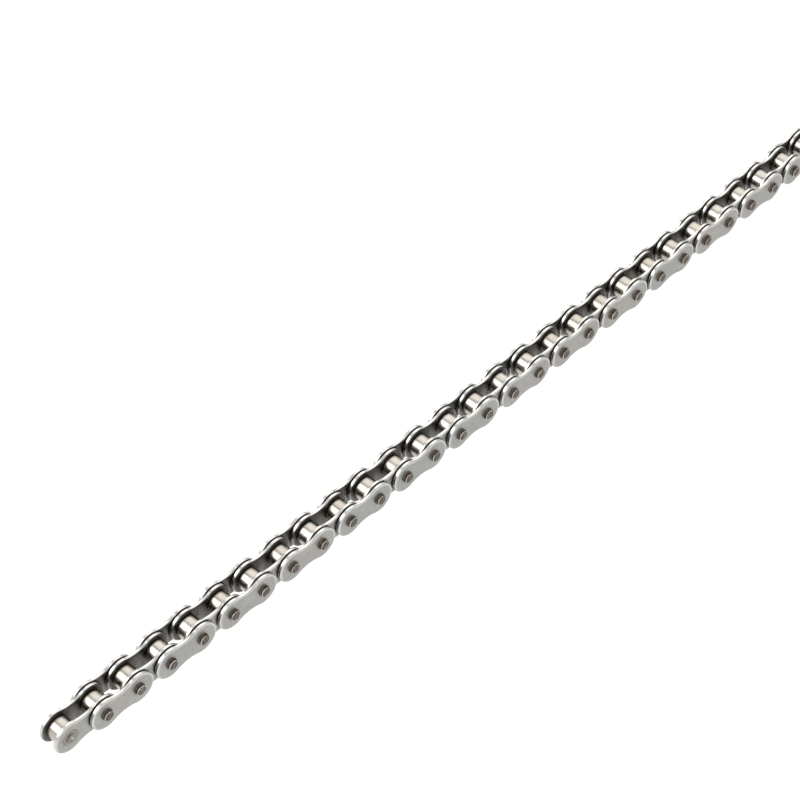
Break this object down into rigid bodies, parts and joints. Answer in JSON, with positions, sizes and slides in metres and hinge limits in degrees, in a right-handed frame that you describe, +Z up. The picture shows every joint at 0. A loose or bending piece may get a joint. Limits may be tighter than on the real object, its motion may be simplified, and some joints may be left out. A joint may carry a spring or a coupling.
{
  "type": "roller chain",
  "caption": "Open length of simplex bush roller chain with waisted side plates, riveted pins and free-turning rollers, for small sprocket drives.",
  "frame": {"origin": "middle of the chain's footprint, under the middle inner link, on the surface that the plate edges stand on", "axes": "+X along the straight chain, Y along the pins, +Z up, in the plane in which the chain bends"},
  "size_m": [0.239, 0.008, 0.0071],
  "materials": {
    "link_steel": "satin, tumbled edges",
    "roller_steel": "polished"
  },
  "bodies": {
    "inner_link_01": {"inner_link_01": "link_steel"},
    "outer_link_01": {"outer_link_01": "link_steel"},
    "inner_link_02": {"inner_link_02": "link_steel"},
    "outer_link_02": {"outer_link_02": "link_steel"},
    "inner_link_03": {"inner_link_03": "link_steel"},
    "outer_link_03": {"outer_link_03": "link_steel"},
    "inner_link_04": {"inner_link_04": "link_steel"},
    "outer_link_04": {"outer_link_04": "link_steel"},
    "inner_link_05": {"inner_link_05": "link_steel"},
    "outer_link_05": {"outer_link_05": "link_steel"},
    "inner_link_06": {"inner_link_06": "link_steel"},
    "outer_link_06": {"outer_link_06": "link_steel"},
    "inner_link_07": {"inner_link_07": "link_steel"},
    "outer_link_07": {"outer_link_07": "link_steel"},
    "inner_link_08": {"inner_link_08": "link_steel"},
    "outer_link_08": {"outer_link_08": "link_steel"},
    "inner_link_09": {"inner_link_09": "link_steel"},
    "outer_link_09": {"outer_link_09": "link_steel"},
    "inner_link_10": {"inner_link_10": "link_steel"},
    "outer_link_10": {"outer_link_10": "link_steel"},
    "inner_link_11": {"inner_link_11": "link_steel"},
    "outer_link_11": {"outer_link_11": "link_steel"},
    "inner_link_12": {"inner_link_12": "link_steel"},
    "outer_link_12": {"outer_link_12": "link_steel"},
    "inner_link_13": {"inner_link_13": "link_steel"},
    "outer_link_13": {"outer_link_13": "link_steel"},
    "inner_link_14": {"inner_link_14": "link_steel"},
    "outer_link_14": {"outer_link_14": "link_steel"},
    "inner_link_15": {"inner_link_15": "link_steel"},
    "roller_01": {"roller_01": "roller_steel"},
    "roller_02": {"roller_02": "roller_steel"},
    "roller_03": {"roller_03": "roller_steel"},
    "roller_04": {"roller_04": "roller_steel"},
    "roller_05": {"roller_05": "roller_steel"},
    "roller_06": {"roller_06": "roller_steel"},
    "roller_07": {"roller_07": "roller_steel"},
    "roller_08": {"roller_08": "roller_steel"},
    "roller_09": {"roller_09": "roller_steel"},
    "roller_10": {"roller_10": "roller_steel"},
    "roller_11": {"roller_11": "roller_steel"},
    "roller_12": {"roller_12": "roller_steel"},
    "roller_13": {"roller_13": "roller_steel"},
    "roller_14": {"roller_14": "roller_steel"},
    "roller_15": {"roller_15": "roller_steel"},
    "roller_16": {"roller_16": "roller_steel"},
    "roller_17": {"roller_17": "roller_steel"},
    "roller_18": {"roller_18": "roller_steel"},
    "roller_19": {"roller_19": "roller_steel"},
    "roller_20": {"roller_20": "roller_steel"},
    "roller_21": {"roller_21": "roller_steel"},
    "roller_22": {"roller_22": "roller_steel"},
    "roller_23": {"roller_23": "roller_steel"},
    "roller_24": {"roller_24": "roller_steel"},
    "roller_25": {"roller_25": "roller_steel"},
    "roller_26": {"roller_26": "roller_steel"},
    "roller_27": {"roller_27": "roller_steel"},
    "roller_28": {"roller_28": "roller_steel"},
    "roller_29": {"roller_29": "roller_steel"},
    "roller_30": {"roller_30": "roller_steel"}
  },
  "joints": [
    {"name": "link_pivot_01", "type": "hinge", "parent": "outer_link_01", "child": "inner_link_01", "pos_m": [-0.108, 0, 0.00355], "axis": [0, -1, 0], "range_deg": [-40, 40]},
    {"name": "link_pivot_02", "type": "hinge", "parent": "inner_link_02", "child": "outer_link_01", "pos_m": [-0.1, 0, 0.00355], "axis": [0, 1, 0], "range_deg": [-40, 40]},
    {"name": "link_pivot_03", "type": "hinge", "parent": "outer_link_02", "child": "inner_link_02", "pos_m": [-0.092, 0, 0.00355], "axis": [0, 1, 0], "range_deg": [-40, 40]},
    {"name": "link_pivot_04", "type": "hinge", "parent": "inner_link_03", "child": "outer_link_02", "pos_m": [-0.084, 0, 0.00355], "axis": [0, -1, 0], "range_deg": [-40, 40]},
    {"name": "link_pivot_05", "type": "hinge", "parent": "outer_link_03", "child": "inner_link_03", "pos_m": [-0.076, 0, 0.00355], "axis": [0, -1, 0], "range_deg": [-40, 40]},
    {"name": "link_pivot_06", "type": "hinge", "parent": "inner_link_04", "child": "outer_link_03", "pos_m": [-0.068, 0, 0.00355], "axis": [0, 1, 0], "range_deg": [-40, 40]},
    {"name": "link_pivot_07", "type": "hinge", "parent": "outer_link_04", "child": "inner_link_04", "pos_m": [-0.06, 0, 0.00355], "axis": [0, 1, 0], "range_deg": [-40, 40]},
    {"name": "link_pivot_08", "type": "hinge", "parent": "inner_link_05", "child": "outer_link_04", "pos_m": [-0.052, 0, 0.00355], "axis": [0, -1, 0], "range_deg": [-40, 40]},
    {"name": "link_pivot_09", "type": "hinge", "parent": "outer_link_05", "child": "inner_link_05", "pos_m": [-0.044, 0, 0.00355], "axis": [0, -1, 0], "range_deg": [-40, 40]},
    {"name": "link_pivot_10", "type": "hinge", "parent": "inner_link_06", "child": "outer_link_05", "pos_m": [-0.036, 0, 0.00355], "axis": [0, 1, 0], "range_deg": [-40, 40]},
    {"name": "link_pivot_11", "type": "hinge", "parent": "outer_link_06", "child": "inner_link_06", "pos_m": [-0.028, 0, 0.00355], "axis": [0, 1, 0], "range_deg": [-40, 40]},
    {"name": "link_pivot_12", "type": "hinge", "parent": "inner_link_07", "child": "outer_link_06", "pos_m": [-0.02, 0, 0.00355], "axis": [0, -1, 0], "range_deg": [-40, 40]},
    {"name": "link_pivot_13", "type": "hinge", "parent": "outer_link_07", "child": "inner_link_07", "pos_m": [-0.012, 0, 0.00355], "axis": [0, -1, 0], "range_deg": [-40, 40]},
    {"name": "link_pivot_14", "type": "hinge", "parent": "inner_link_08", "child": "outer_link_07", "pos_m": [-0.004, 0, 0.00355], "axis": [0, 1, 0], "range_deg": [-40, 40]},
    {"name": "link_pivot_15", "type": "hinge", "parent": "inner_link_08", "child": "outer_link_08", "pos_m": [0.004, 0, 0.00355], "axis": [0, -1, 0], "range_deg": [-40, 40]},
    {"name": "link_pivot_16", "type": "hinge", "parent": "outer_link_08", "child": "inner_link_09", "pos_m": [0.012, 0, 0.00355], "axis": [0, 1, 0], "range_deg": [-40, 40]},
    {"name": "link_pivot_17", "type": "hinge", "parent": "inner_link_09", "child": "outer_link_09", "pos_m": [0.02, 0, 0.00355], "axis": [0, 1, 0], "range_deg": [-40, 40]},
    {"name": "link_pivot_18", "type": "hinge", "parent": "outer_link_09", "child": "inner_link_10", "pos_m": [0.028, 0, 0.00355], "axis": [0, -1, 0], "range_deg": [-40, 40]},
    {"name": "link_pivot_19", "type": "hinge", "parent": "inner_link_10", "child": "outer_link_10", "pos_m": [0.036, 0, 0.00355], "axis": [0, -1, 0], "range_deg": [-40, 40]},
    {"name": "link_pivot_20", "type": "hinge", "parent": "outer_link_10", "child": "inner_link_11", "pos_m": [0.044, 0, 0.00355], "axis": [0, 1, 0], "range_deg": [-40, 40]},
    {"name": "link_pivot_21", "type": "hinge", "parent": "inner_link_11", "child": "outer_link_11", "pos_m": [0.052, 0, 0.00355], "axis": [0, 1, 0], "range_deg": [-40, 40]},
    {"name": "link_pivot_22", "type": "hinge", "parent": "outer_link_11", "child": "inner_link_12", "pos_m": [0.06, 0, 0.00355], "axis": [0, -1, 0], "range_deg": [-40, 40]},
    {"name": "link_pivot_23", "type": "hinge", "parent": "inner_link_12", "child": "outer_link_12", "pos_m": [0.068, 0, 0.00355], "axis": [0, -1, 0], "range_deg": [-40, 40]},
    {"name": "link_pivot_24", "type": "hinge", "parent": "outer_link_12", "child": "inner_link_13", "pos_m": [0.076, 0, 0.00355], "axis": [0, 1, 0], "range_deg": [-40, 40]},
    {"name": "link_pivot_25", "type": "hinge", "parent": "inner_link_13", "child": "outer_link_13", "pos_m": [0.084, 0, 0.00355], "axis": [0, 1, 0], "range_deg": [-40, 40]},
    {"name": "link_pivot_26", "type": "hinge", "parent": "outer_link_13", "child": "inner_link_14", "pos_m": [0.092, 0, 0.00355], "axis": [0, -1, 0], "range_deg": [-40, 40]},
    {"name": "link_pivot_27", "type": "hinge", "parent": "inner_link_14", "child": "outer_link_14", "pos_m": [0.1, 0, 0.00355], "axis": [0, -1, 0], "range_deg": [-40, 40]},
    {"name": "link_pivot_28", "type": "hinge", "parent": "outer_link_14", "child": "inner_link_15", "pos_m": [0.108, 0, 0.00355], "axis": [0, 1, 0], "range_deg": [-40, 40]},
    {"name": "roller_spin_01", "type": "hinge", "parent": "inner_link_01", "child": "roller_01", "pos_m": [-0.116, 0, 0.00355], "axis": [0, 1, 0], "continuous": true},
    {"name": "roller_spin_02", "type": "hinge", "parent": "inner_link_01", "child": "roller_02", "pos_m": [-0.108, 0, 0.00355], "axis": [0, 1, 0], "continuous": true},
    {"name": "roller_spin_03", "type": "hinge", "parent": "inner_link_02", "child": "roller_03", "pos_m": [-0.1, 0, 0.00355], "axis": [0, 1, 0], "continuous": true},
    {"name": "roller_spin_04", "type": "hinge", "parent": "inner_link_02", "child": "roller_04", "pos_m": [-0.092, 0, 0.00355], "axis": [0, 1, 0], "continuous": true},
    {"name": "roller_spin_05", "type": "hinge", "parent": "inner_link_03", "child": "roller_05", "pos_m": [-0.084, 0, 0.00355], "axis": [0, 1, 0], "continuous": true},
    {"name": "roller_spin_06", "type": "hinge", "parent": "inner_link_03", "child": "roller_06", "pos_m": [-0.076, 0, 0.00355], "axis": [0, 1, 0], "continuous": true},
    {"name": "roller_spin_07", "type": "hinge", "parent": "inner_link_04", "child": "roller_07", "pos_m": [-0.068, 0, 0.00355], "axis": [0, 1, 0], "continuous": true},
    {"name": "roller_spin_08", "type": "hinge", "parent": "inner_link_04", "child": "roller_08", "pos_m": [-0.06, 0, 0.00355], "axis": [0, 1, 0], "continuous": true},
    {"name": "roller_spin_09", "type": "hinge", "parent": "inner_link_05", "child": "roller_09", "pos_m": [-0.052, 0, 0.00355], "axis": [0, 1, 0], "continuous": true},
    {"name": "roller_spin_10", "type": "hinge", "parent": "inner_link_05", "child": "roller_10", "pos_m": [-0.044, 0, 0.00355], "axis": [0, 1, 0], "continuous": true},
    {"name": "roller_spin_11", "type": "hinge", "parent": "inner_link_06", "child": "roller_11", "pos_m": [-0.036, 0, 0.00355], "axis": [0, 1, 0], "continuous": true},
    {"name": "roller_spin_12", "type": "hinge", "parent": "inner_link_06", "child": "roller_12", "pos_m": [-0.028, 0, 0.00355], "axis": [0, 1, 0], "continuous": true},
    {"name": "roller_spin_13", "type": "hinge", "parent": "inner_link_07", "child": "roller_13", "pos_m": [-0.02, 0, 0.00355], "axis": [0, 1, 0], "continuous": true},
    {"name": "roller_spin_14", "type": "hinge", "parent": "inner_link_07", "child": "roller_14", "pos_m": [-0.012, 0, 0.00355], "axis": [0, 1, 0], "continuous": true},
    {"name": "roller_spin_15", "type": "hinge", "parent": "inner_link_08", "child": "roller_15", "pos_m": [-0.004, 0, 0.00355], "axis": [0, 1, 0], "continuous": true},
    {"name": "roller_spin_16", "type": "hinge", "parent": "inner_link_08", "child": "roller_16", "pos_m": [0.004, 0, 0.00355], "axis": [0, 1, 0], "continuous": true},
    {"name": "roller_spin_17", "type": "hinge", "parent": "inner_link_09", "child": "roller_17", "pos_m": [0.012, 0, 0.00355], "axis": [0, 1, 0], "continuous": true},
    {"name": "roller_spin_18", "type": "hinge", "parent": "inner_link_09", "child": "roller_18", "pos_m": [0.02, 0, 0.00355], "axis": [0, 1, 0], "continuous": true},
    {"name": "roller_spin_19", "type": "hinge", "parent": "inner_link_10", "child": "roller_19", "pos_m": [0.028, 0, 0.00355], "axis": [0, 1, 0], "continuous": true},
    {"name": "roller_spin_20", "type": "hinge", "parent": "inner_link_10", "child": "roller_20", "pos_m": [0.036, 0, 0.00355], "axis": [0, 1, 0], "continuous": true},
    {"name": "roller_spin_21", "type": "hinge", "parent": "inner_link_11", "child": "roller_21", "pos_m": [0.044, 0, 0.00355], "axis": [0, 1, 0], "continuous": true},
    {"name": "roller_spin_22", "type": "hinge", "parent": "inner_link_11", "child": "roller_22", "pos_m": [0.052, 0, 0.00355], "axis": [0, 1, 0], "continuous": true},
    {"name": "roller_spin_23", "type": "hinge", "parent": "inner_link_12", "child": "roller_23", "pos_m": [0.06, 0, 0.00355], "axis": [0, 1, 0], "continuous": true},
    {"name": "roller_spin_24", "type": "hinge", "parent": "inner_link_12", "child": "roller_24", "pos_m": [0.068, 0, 0.00355], "axis": [0, 1, 0], "continuous": true},
    {"name": "roller_spin_25", "type": "hinge", "parent": "inner_link_13", "child": "roller_25", "pos_m": [0.076, 0, 0.00355], "axis": [0, 1, 0], "continuous": true},
    {"name": "roller_spin_26", "type": "hinge", "parent": "inner_link_13", "child": "roller_26", "pos_m": [0.084, 0, 0.00355], "axis": [0, 1, 0], "continuous": true},
    {"name": "roller_spin_27", "type": "hinge", "parent": "inner_link_14", "child": "roller_27", "pos_m": [0.092, 0, 0.00355], "axis": [0, 1, 0], "continuous": true},
    {"name": "roller_spin_28", "type": "hinge", "parent": "inner_link_14", "child": "roller_28", "pos_m": [0.1, 0, 0.00355], "axis": [0, 1, 0], "continuous": true},
    {"name": "roller_spin_29", "type": "hinge", "parent": "inner_link_15", "child": "roller_29", "pos_m": [0.108, 0, 0.00355], "axis": [0, 1, 0], "continuous": true},
    {"name": "roller_spin_30", "type": "hinge", "parent": "inner_link_15", "child": "roller_30", "pos_m": [0.116, 0, 0.00355], "axis": [0, 1, 0], "continuous": true}
  ]
}
